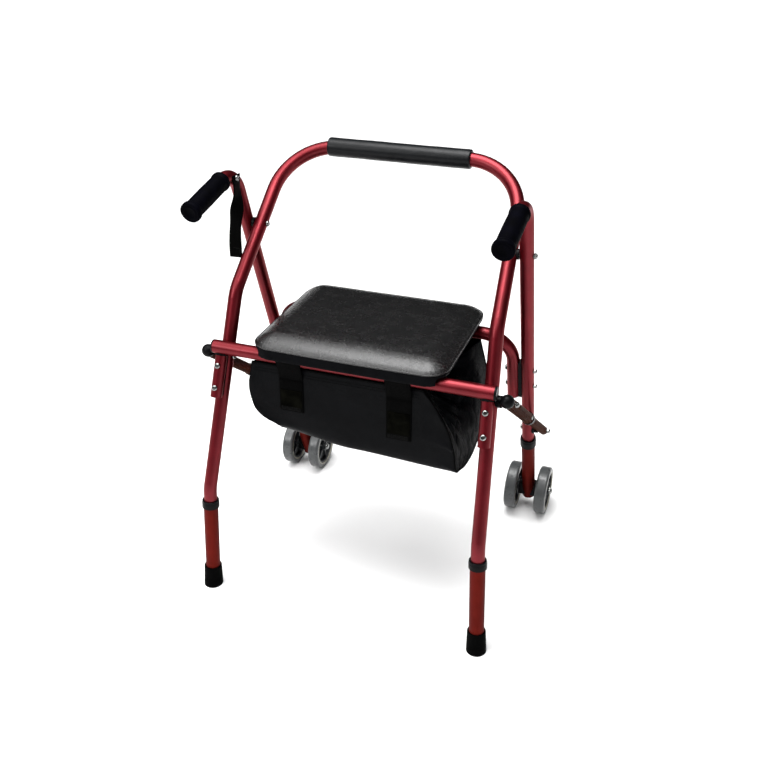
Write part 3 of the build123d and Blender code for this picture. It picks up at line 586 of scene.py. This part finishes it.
def edge_distance(x, y, half_x, half_y, corner):
    """How far a point is inside a rounded rectangle, with its inner corners eased."""
    a, b = abs(x) - half_x + corner, abs(y) - half_y + corner
    outside = math.hypot(max(a, 0.0), max(b, 0.0))
    inside = min((a + b + math.hypot(a - b, 30 * MM)) / 2, 0.0)
    return corner - outside - inside


def near_sag(x, y, half_x, half_y):
    """Share of the near edge's droop at a point of the seat."""
    return smooth_step((-y - half_y + SAG_REACH) / SAG_REACH) * math.sin(math.pi * (x / half_x + 1) / 2)


def make_seat():
    """Padded vinyl cover with a crowned top, a band that hangs over the near edge, and piping; the sideways
    faces below the seam take a duller copy of the vinyl whose darker colour is painted shade.
    """
    low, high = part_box("seat_cushion")
    board_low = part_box("seat_board")[0]
    centre = (low + high) / 2
    half_x, half_y = (high.x - low.x) / 2 - 1.2 * MM, (high.y - low.y) / 2 - 1.2 * MM
    bottom, seam_z = board_low.z + 0.8 * MM, board_low.z + SEAM_HEIGHT
    outline = rounded_outline(half_x, half_y, SEAT_CORNER, 24)
    near = [p for p in outline if p[1] < LIP_THICK - half_y]
    points, faces = [], []
    add_prism(points, faces, outline, ((bottom, 0.985), (bottom + 3 * MM, 1.0), (seam_z, 1.0)))
    add_prism(points, faces, near, ((low.z + 0.4 * MM, 1.0), (bottom + 7 * MM, 1.0)))
    cover = new_piece("seat_cover", points, faces)
    remesh = cover.modifiers.new("remesh", "REMESH")
    remesh.mode = "VOXEL"
    remesh.voxel_size = 3.2 * MM
    baked(cover)
    for vertex in cover.data.vertices:
        p = vertex.co
        inside = edge_distance(p.x, p.y, half_x, half_y, SEAT_CORNER)
        share = min(1.0, max(0.0, inside / CROWN_REACH))
        raised = smooth_step((p.z - seam_z + 5 * MM) / (5 * MM)) * smooth_step(inside / (4 * MM))
        slack = 0.9 * MM * noise.noise(Vector((p.x * 13, p.y * 10, 3.1)))
        p.z += raised * (CROWN * (1 - (1 - share) ** 2.2) + share * slack)
        corner = Vector((abs(p.x) - half_x + SEAT_CORNER, abs(p.y) - half_y + SEAT_CORNER))
        if min(corner) > 0 and p.z > seam_z - 1 * MM:
            gather = math.sin(math.atan2(corner.y, corner.x) * 26 + 3 * noise.noise(p * 40))
            p.z += 0.5 * MM * gather * (1 - share) * smooth_step(inside / (6 * MM))
        sag = near_sag(p.x, p.y, half_x, half_y)
        p.z -= EDGE_SAG * sag * smooth_step((p.z - bottom) / (10 * MM))
    subdivided(cover)
    for vertex in cover.data.vertices:
        vertex.co += Vector((centre.x, centre.y, 0))
    dressed(cover, "seat", "seat_vinyl", "seat_cushion")
    # Sideways faces below the seam get the darker band material: painted shade on the seat's sides.
    cover.data.materials.append(MATERIALS["seat_band"])
    for face in cover.data.polygons:
        if face.center.z < seam_z and face.normal.z < 0.5:
            face.material_index = 1

    surface = BVHTree.FromObject(cover, bpy.context.evaluated_depsgraph_get())
    loop = []
    ring = rounded_outline(half_x, half_y, SEAT_CORNER, 16)
    for a, b in zip(ring, ring[1:] + ring[:1]):
        cuts = max(1, round(math.dist(a, b) / (7 * MM)))
        for i in range(cuts):
            x, y = (a[k] + (b[k] - a[k]) * i / cuts for k in (0, 1))
            drop = 0.6 * MM + EDGE_SAG * near_sag(x, y, half_x, half_y)
            guess = Vector((centre.x + x, centre.y + y, seam_z - drop))
            loop.append(surface.find_nearest(guess)[0])
    piping = tube_along("seat_piping", loop, 1.7 * MM, 10, closed=True)
    dressed(piping, "seat", "seat_vinyl")


make_seat()


# ---------------------------------------------------------------------- bag
rear_bar_y, rear_bar_z, bar_radius = bar_of("rear_crossbar")
front_bar_y, front_bar_z, _ = bar_of("front_crossbar")
bag_low, bag_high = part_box("bag")
BAG_CLOTH = 1.2 * MM

# Stations round the bag from the rear top, under it and up to the front top:
# y and z of the cloth, and the x of its left and right edges.
BAG_STATIONS = [
    (-0.1722, 0.4885, -0.190, 0.141), (-0.1738, 0.4300, -0.199, 0.180),
    (-0.1750, 0.3830, -0.183, 0.197), (-0.1715, 0.3420, -0.143, 0.203),
    (-0.1480, 0.3290, -0.152, 0.204), (-0.1000, 0.3120, -0.172, 0.204),
    (-0.0400, 0.3060, -0.188, 0.203), (0.0200, 0.3130, -0.194, 0.200),
    (0.0620, 0.3370, -0.196, 0.197), (0.0765, 0.3740, -0.196, 0.196),
    (0.0740, 0.4120, -0.194, 0.194), (0.0465, 0.4915, -0.182, 0.184),
]
REAR_CORNER, FRONT_CORNER = 3, 8
LAST_STATION = len(BAG_STATIONS) - 1


def body_point(s, u):
    """Point of the bag's body panel: s is the station, u runs from the left edge to the right."""
    y, z, left, right = curve_point(BAG_STATIONS, s)
    x = left + (right - left) * u
    low = smooth_step((s - 1.9) / 1.1) * (1 - smooth_step((s - 5.5) / 2.5))
    z += low * (0.019 * smooth_step(-x / 0.16) - 0.007 * smooth_step(x / 0.2))
    inner = math.sin(math.pi * min(1.0, max(0.0, u)))
    if s < REAR_CORNER:
        y += 1.6 * MM * inner * math.sin(math.pi * s / REAR_CORNER) * math.sin(x * 21 + 0.6)
    elif s < FRONT_CORNER:
        z -= 3.0 * MM * inner * math.sin(math.pi * (s - REAR_CORNER) / (FRONT_CORNER - REAR_CORNER))
    else:
        bulge = math.sin(math.pi * (s - FRONT_CORNER) / (LAST_STATION - FRONT_CORNER))
        y += 4.0 * MM * inner * bulge * math.sin(x * 16)
    return Vector((x, y, z))


def creased(p, amount, scale, seed):
    """Sharp-edged creases from folded noise, for crumpled nylon."""
    at = Vector((p[0], p[1], p[2])) * scale + Vector((seed, 1.7 * seed, 0.3))
    bend = Vector((noise.noise(at * 0.6 + Vector((5, 0, 0))), noise.noise(at * 0.6), 0)) * 0.8
    ridge = 1 - 2 * abs(noise.noise(at + bend))
    return amount * (ridge * abs(ridge))


def make_bag():
    """Nylon body panel from hem to hem, two gussets tucked in at the top, and seam binding."""
    rows, columns = 132, 120
    body = np.zeros((rows, columns, 3))
    for r in range(rows):
        s = LAST_STATION * r / (rows - 1)
        for c in range(columns):
            u = c / (columns - 1)
            p = body_point(s, u)
            edge = max(0.0, 1 - min(u, 1 - u) / 0.16)
            near_top = smooth_step(1 - s / 1.4) if s < REAR_CORNER else smooth_step((s - 9.6) / 1.4)
            amount = (0.35 + 3.4 * edge**2 + 0.8 * near_top * (s > REAR_CORNER)) * MM
            amount *= smooth_step(edge * 6) * 0.7 + 0.3
            shift = creased((p.x, p.y * 0.8, p.z), amount, 17.0, 2.0)
            if s < REAR_CORNER:
                way = Vector((0, -1, 0))
            elif s < FRONT_CORNER:
                way = Vector((0, 0.5, -0.85))
            else:
                way = Vector((0, 1, 0))
            body[r, c] = p + way * shift
    pieces = [grid_piece("bag_body", body, BAG_CLOTH)]
    for side, sign in SIDES.items():
        gusset = make_gusset(side, sign)
        pieces.append(gusset)
        u = 1.0 if sign > 0 else 0.0
        seam = [body_point(LAST_STATION * i / 90, u) for i in range(91)]
        pieces.append(tube_along(f"bag_seam_{side}", seam, 1.5 * MM, 8))
    for end, s in (("rear", 0.0), ("front", float(LAST_STATION))):
        hem = [body_point(s, i / 60) for i in range(61)]
        pieces.append(tube_along(f"bag_hem_{end}", hem, 1.6 * MM, 8))
    stitch_rows = []
    for s in (0.18, LAST_STATION - 0.18):
        for offset in (0.0, 0.09):
            at = s + (offset if s < 1 else -offset)
            row = [body_point(at, 0.02 + 0.96 * i / 70) for i in range(71)]
            out = Vector((0, -1.4 * MM, 0)) if s < 1 else Vector((0, 1.5 * MM, 0))
            stitch_rows.append([p + out for p in row])
    pieces.append(stitches("bag_stitches", stitch_rows))
    for number, piece in enumerate(pieces):
        bound = any(word in piece.name for word in ("seam", "hem", "stitch"))
        slot = "webbing" if bound else "bag_nylon"
        stands_for = ("bag",) if number == 0 else ()
        # The gussets take the darker side material: painted shade on the bag's sides.
        side_cloth_painted_shade = MATERIALS["bag_side"] if "gusset" in piece.name else None
        dressed(piece, "rear_frame", slot, *stands_for, material=side_cloth_painted_shade)
        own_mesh(piece)
    return pieces


def make_gusset(side, sign):
    """Side panel between the body panel's edges, pleated and tucked inwards at its top."""
    u = 1.0 if sign > 0 else 0.0
    rows, columns = 84, 96
    grid = np.zeros((rows, columns, 3))
    for r in range(rows):
        t = r / (rows - 1)
        back = body_point(REAR_CORNER * (1 - t), u)
        front = body_point(FRONT_CORNER + (LAST_STATION - FRONT_CORNER) * t, u)
        for c in range(columns):
            w = c / (columns - 1)
            p = back.lerp(front, w)
            under = body_point(REAR_CORNER + (FRONT_CORNER - REAR_CORNER) * w, u)
            straight = body_point(REAR_CORNER, u).lerp(body_point(FRONT_CORNER, u), w)
            p += (under - straight) * (1 - t) ** 1.6
            inner = min(1.0, math.sin(math.pi * w) * 1.6)
            near = inner * (1 - smooth_step((w - 0.35) / 0.45))
            tuck = 24 * MM * t**1.3 * near - 4 * MM * math.sin(math.pi * t) * inner
            fan = math.atan2(1.04 - t, w + 0.04) * 4.6
            reach = math.hypot(1.04 - t, w)
            ridge = abs(fan % 1.0 - 0.5) * 4 - 1
            pleat = 6.5 * MM * math.exp(-((reach - 0.38) / 0.26) ** 2) * ridge * inner
            crumple = creased(p, 5.5 * MM * (0.2 + 0.8 * t) * near, 17.0, 7.0 + sign)
            fine = creased(p, (0.8 + 1.6 * t * near) * MM * inner, 34.0, 3.0 + sign)
            p.x -= sign * (tuck + pleat + crumple + fine)
            p.z += 4 * MM * near * t * math.sin(w * 9 + sign)
            grid[r, c] = p
    gusset = grid_piece(f"bag_gusset_{side}", grid, BAG_CLOTH)
    return gusset


bag_pieces = make_bag()
bag_surface = BVHTree.FromObject(bag_pieces[0], bpy.context.evaluated_depsgraph_get())


# ------------------------------------------------------------------- straps
STRAP_THICK = 1.4 * MM
REAR_STRAPS = ((-0.112, 0.400), (0.096, 0.381))     # x of each strap, z of its sewn end
FRONT_STRAPS = (-0.070, 0.0, 0.070)                 # x of each loop
REAR_STRAP_WIDTH = 48 * MM
FRONT_STRAP_WIDTH = 26 * MM
HAND_STRAP_SIZE = (0.025, 0.163)
PATCH_WIDTH = 43 * MM
PATCH_TOP_Z = 0.470


def arc_round(centre_y, centre_z, radius, start, end, count):
    """Points of an arc in the YZ plane, angles in degrees from +Y towards +Z."""
    points = []
    for i in range(count + 1):
        turn = math.radians(start + (end - start) * i / count)
        points.append((centre_y + radius * math.cos(turn), centre_z + radius * math.sin(turn)))
    return points


def strap_on(name, x, width, route, body, crossbar, *stands_for):
    """Webbing over a crossbar, along a YZ route at x."""
    dense = spline([(0, y, z) for y, z in route], 6 * len(route))
    centres = [Vector((x, p[1], p[2])) for p in dense]
    strap = webbing(name, centres, [Vector((1, 0, 0))] * len(centres), width, STRAP_THICK)
    dressed(strap, body, "webbing", *stands_for)


def make_rear_straps():
    """Wide straps sewn to the bag's back, over the rear crossbar and down inside."""
    ring = bar_radius + 0.3 * MM + STRAP_THICK / 2
    patch_rows = []
    for number, (x, foot) in enumerate(REAR_STRAPS):
        route = []
        for i in range(9):
            z = foot + (PATCH_TOP_Z - foot) * i / 8
            hit = bag_surface.ray_cast(Vector((x, rear_bar_y - 0.1, z)), Vector((0, 1, 0)))[0]
            y = (hit.y if hit else bag_low.y) - STRAP_THICK / 2 - 0.5 * MM
            route.append((y, z))
        route += arc_round(rear_bar_y, rear_bar_z, ring, 196, -6, 12)
        inside = ((ring - 3 * MM, 14 * MM), (7 * MM, 30 * MM), (5.5 * MM, 52 * MM))
        route += [(rear_bar_y + ahead, rear_bar_z - below) for ahead, below in inside]
        stands_for = ("bag_rear_straps",) if number == 0 else ()
        strap = f"bag_rear_strap_{number + 1}"
        strap_on(strap, x, REAR_STRAP_WIDTH, route, "rear_frame", "rear_crossbar", *stands_for)
        front = route[0][0] - STRAP_THICK * 0.55
        for z in (foot + 3 * MM, foot + 5.5 * MM, foot + 8 * MM):
            patch_rows.append([(x - 21 * MM, front, z), (x, front, z), (x + 21 * MM, front, z)])
        pile = [Vector((x, y - STRAP_THICK * 0.5 - 0.2 * MM, z)) for y, z in route[1:6]]
        across = [Vector((1, 0, 0))] * 60
        patch = webbing(f"hook_patch_{number + 1}", spline(pile, 60), across, PATCH_WIDTH, 0.9 * MM)
        for vertex in patch.data.vertices:
            vertex.co.y -= 0.5 * MM * noise.noise(vertex.co * 900)
        dressed(patch, "rear_frame", "webbing", material=MATERIALS["hook_pile"])
    threads = stitches("bag_strap_stitches", patch_rows)
    dressed(threads, "rear_frame", "webbing", material=MATERIALS["thread"])


def make_front_straps():
    """Three narrow loops that hang the bag's front from the front crossbar."""
    ring = bar_radius + 0.3 * MM + STRAP_THICK / 2
    for number, x in enumerate(FRONT_STRAPS):
        route = [(0.0535, 0.450), (0.0505, 0.466), (0.0500, 0.478)]
        route += arc_round(front_bar_y, front_bar_z, ring, 200, -20, 12)
        route += arc_round(front_bar_y, front_bar_z, ring + 0.6 * MM, -50, -110, 4)
        route += [(0.0548, 0.474), (0.0560, 0.462)]
        stands_for = ("bag_front_straps",) if number == 0 else ()
        strap = f"bag_front_strap_{number + 1}"
        strap_on(strap, x, FRONT_STRAP_WIDTH, route, "front_frame", "front_crossbar", *stands_for)


MATERIALS["thread"] = moulded(
    "sewing_thread", (0.008, 0.008, 0.008), (0.016, 0.016, 0.015), 0.5, 2600.0, 0.05, 0.1)
make_rear_straps()
make_front_straps()


def make_hand_strap():
    """Carry strap bolted inside the left handle: it twists as it hangs and ends in a sewn fold."""
    controls = [
        (-0.2556, -0.0580, 0.7975), (-0.2556, -0.0580, 0.7890),
        (-0.2556, -0.0582, 0.7750), (-0.2562, -0.0588, 0.7550),
        (-0.2590, -0.0598, 0.7300), (-0.2640, -0.0606, 0.7000),
        (-0.2672, -0.0604, 0.6680), (-0.2684, -0.0600, 0.6400),
    ]
    centres = spline(controls, 72)
    across = []
    for p in centres:
        turn = math.pi / 2 * (1 - smooth_step((0.778 - p[2]) / 0.075)) + 0.12 * math.sin(p[2] * 60)
        across.append(Vector((math.cos(turn), math.sin(turn), 0)))
    strap = webbing("hand_strap_webbing", centres, across, HAND_STRAP_SIZE[0], 2.0 * MM)
    dressed(strap, "front_frame", "webbing", "hand_strap")
    facing = [Vector(c) + Vector((0, -1.25 * MM, 0)) for c in centres]
    hem_low, hem_high = 0.6432, 0.6597
    rows = []
    for z_low in (hem_low, hem_high):
        at = min(facing, key=lambda p: abs(p.z - z_low))
        rows.append([at + Vector((x * MM, 0, 0)) for x in (-9.5, 0, 9.5)])
    for x in (-9.5, 9.5):
        rows.append([p + Vector((x * MM, 0, 0)) for p in facing if hem_low < p.z < hem_high + 2 * MM])
    threads = stitches("hand_strap_stitches", rows, 2.8 * MM, 2.0 * MM, 0.28 * MM)
    dressed(threads, "front_frame", "webbing", material=MATERIALS["thread"])


make_hand_strap()


# ------------------------------------------------------------ foam and grips
def make_backrest():
    """Foam sleeve on the arch: rounded ends and small dents."""
    low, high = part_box("backrest_pad")
    middle_y, middle_z = (low.y + high.y) / 2, (low.z + high.z) / 2
    radius = (high.z - low.z) / 2
    start, end = Vector((low.x, middle_y, middle_z)), Vector((high.x, middle_y, middle_z))
    length = high.x - low.x

    def ripple(along, turn):
        at = Vector((along * 22, math.cos(turn) * 0.8, math.sin(turn) * 0.8))
        return 0.35 * MM * noise.noise(at) + 0.15 * MM * noise.noise(at * 4)

    profile = rounded_profile(length, radius - 0.2 * MM, bar_radius + 0.1 * MM, 3.0 * MM, steps=90)
    pad = lathe("backrest_foam", start, end, profile, 72, ripple)
    dressed(pad, "rear_frame", "foam", "backrest_pad")


def make_grip(side):
    """Soft hand grip: end cap with a raised ring, palm swell, fine ribs and a front flange."""
    rear, front = spine(f"hand_grip_{side}")
    length = (front - rear).length
    bore = bar_radius + 0.1 * MM
    cap = [(0.9, 0.01), (0.9, 9.0), (0.1, 9.8), (0.1, 12.4), (0.9, 13.2), (0.2, 14.4), (0.0, 15.6),
           (0.5, 17.4), (1.7, 18.6), (3.6, 19.0), (8.0, 19.0), (10.4, 18.5), (11.8, 17.4), (12.6, 16.6)]
    profile = [(a * MM, r * MM) for a, r in cap]
    body_start, body_end = 12.6 * MM, length - 10 * MM
    steps = 84
    for i in range(1, steps):
        along = body_start + (body_end - body_start) * i / steps
        share = (along - body_start) / (body_end - body_start)
        swell = 0.5 * MM * math.sin(math.pi * share) + (0.22 * MM if i % 2 else 0.0)
        profile.append((along, 16.35 * MM + swell))
    profile += [(body_end, 16.6 * MM), (length - 8.6 * MM, 17.6 * MM), (length - 7 * MM, 18.0 * MM),
                (length - 3 * MM, 18.0 * MM), (length - 1.2 * MM, 17.5 * MM), (length, 16.0 * MM)]
    profile += [(length, bore), (14.9 * MM, bore), (14.9 * MM, 0.01 * MM)]
    grip = lathe(f"grip_{side}", rear, front, profile, 64)
    shell = bmesh.new()
    shell.from_mesh(grip.data)
    bmesh.ops.remove_doubles(shell, verts=shell.verts, dist=0.03 * MM)
    shell.to_mesh(grip.data)
    shell.free()
    grip.data.polygons.foreach_set("use_smooth", [True] * len(grip.data.polygons))
    dressed(grip, "front_frame", "grip_rubber", f"hand_grip_{side}")


def make_link_bush(side, sign):
    """Ribbed rubber bush between the front leg and the side link."""
    leg_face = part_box("front_leg_spacers")[1].x
    bolt_low, bolt_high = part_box(f"link_end_bolt_{side}")
    link_face = bolt_low.x if sign > 0 else -bolt_high.x
    y, z = (bolt_low.y + bolt_high.y) / 2, (bolt_low.z + bolt_high.z) / 2
    start, end = Vector((sign * leg_face, y, z)), Vector((sign * (link_face + 1.0 * MM), y, z))
    length = (end - start).length

    def ribs(along):
        return 0.6 * MM * math.cos(along / length * 4 * math.pi)

    profile = rounded_profile(length, 8.6 * MM, 3.3 * MM, 1.2 * MM, ribs, 16)
    bush = lathe(f"link_bush_{side}", start, end, profile, 32)
    dressed(bush, "front_frame", "tip_rubber")
    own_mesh(bush)


make_backrest()
for side, sign in SIDES.items():
    make_grip(side)
    make_link_bush(side, sign)


# ---------------------------------------------------------- camera and light
CAMERA_AT = Vector((0.5431, -1.4745, 1.2638))
CAMERA_TURN, CAMERA_DROP, CAMERA_ROLL = (math.radians(a) for a in (20.1, 29.2, -0.3))
CAMERA_LENS = 42.57


def make_camera():
    data = bpy.data.cameras.new("camera")
    data.lens = CAMERA_LENS
    data.sensor_width = 36.0
    camera = bpy.data.objects.new("camera", data)
    bpy.context.scene.collection.objects.link(camera)
    turn, drop, roll = CAMERA_TURN, CAMERA_DROP, CAMERA_ROLL
    ahead = Vector((-math.sin(turn) * math.cos(drop), math.cos(turn) * math.cos(drop), -math.sin(drop)))
    right = Vector((math.cos(turn), math.sin(turn), 0))
    up = right.cross(ahead)
    right, up = right * math.cos(roll) + up * math.sin(roll), up * math.cos(roll) - right * math.sin(roll)
    place = Matrix((right, up, -ahead)).transposed().to_4x4()
    place.translation = CAMERA_AT
    camera.matrix_world = place
    bpy.context.scene.camera = camera


def softbox(name, at, towards, size, power):
    """Square area light that faces a point."""
    data = bpy.data.lights.new(name, "AREA")
    data.shape = "SQUARE"
    data.size = size
    data.energy = power
    light = bpy.data.objects.new(name, data)
    bpy.context.scene.collection.objects.link(light)
    light.location = at
    light.rotation_mode = "QUATERNION"
    light.rotation_quaternion = (Vector(towards) - Vector(at)).to_track_quat("-Z", "Y")


def make_floor():
    """Pale studio floor."""
    reach = 14.0
    corners = [(-reach, -reach, 0), (reach, -reach, 0), (reach, reach, 0), (-reach, reach, 0)]
    floor = new_piece("floor", corners, [(0, 1, 2, 3)])
    made, tree, shader, spot = new_material("pale_floor", Specular_IOR_Level=0.1)
    color = ramp(tree, grain(tree, spot.outputs["Object"], 3.0, 3.0), [(0.3, 0.90), (0.7, 0.92)])
    shader.inputs["Roughness"].default_value = 0.9
    feed(tree, shader, color)
    floor.data.materials.append(made)


def make_world():
    """White surround where the camera sees it; surfaces reflect a dim one, lighter overhead."""
    world = bpy.data.worlds.new("studio")
    bpy.context.scene.world = world
    world.use_nodes = True
    tree = world.node_tree
    background = tree.nodes["Background"]
    spot = tree.nodes.new("ShaderNodeTexCoord")
    axes = node(tree, "ShaderNodeSeparateXYZ", Vector=spot.outputs["Generated"])
    height = maths(tree, "MULTIPLY_ADD", axes.outputs["Z"], 0.5)
    height.node.inputs[2].default_value = 0.5
    around = ramp(tree, height, [(0.5, 0.04), (0.75, 0.06), (0.9, 0.25), (1.0, 0.4)])
    seen = tree.nodes.new("ShaderNodeLightPath").outputs["Is Camera Ray"]
    mixed = tree.nodes.new("ShaderNodeMix")
    mixed.data_type = "RGBA"
    tree.links.new(seen, mixed.inputs[0])
    tree.links.new(around, mixed.inputs[6])
    mixed.inputs[7].default_value = (1, 1, 1, 1)
    tree.links.new(mixed.outputs[2], background.inputs["Color"])
    background.inputs["Strength"].default_value = 1.0


def make_sky_panel():
    """Very broad overhead light, which keeps the floor's shadows faint."""
    data = bpy.data.lights.new("sky_panel", "SUN")
    data.energy = 4.0
    data.angle = math.radians(75)
    sun = bpy.data.objects.new("sky_panel", data)
    bpy.context.scene.collection.objects.link(sun)
    sun.rotation_euler = (math.radians(14), math.radians(-16), 0)


make_camera()
make_floor()
make_world()
make_sky_panel()
softbox("key", (-1.5, -2.3, 1.9), (0, 0, 0.45), 1.1, 34)
softbox("top", (-0.1, -0.1, 2.3), (0, 0, 0.45), 1.1, 48)
softbox("fill", (2.2, -1.4, 1.1), (0, 0, 0.4), 1.0, 2.5)
bpy.context.scene.view_settings.view_transform = "Standard"
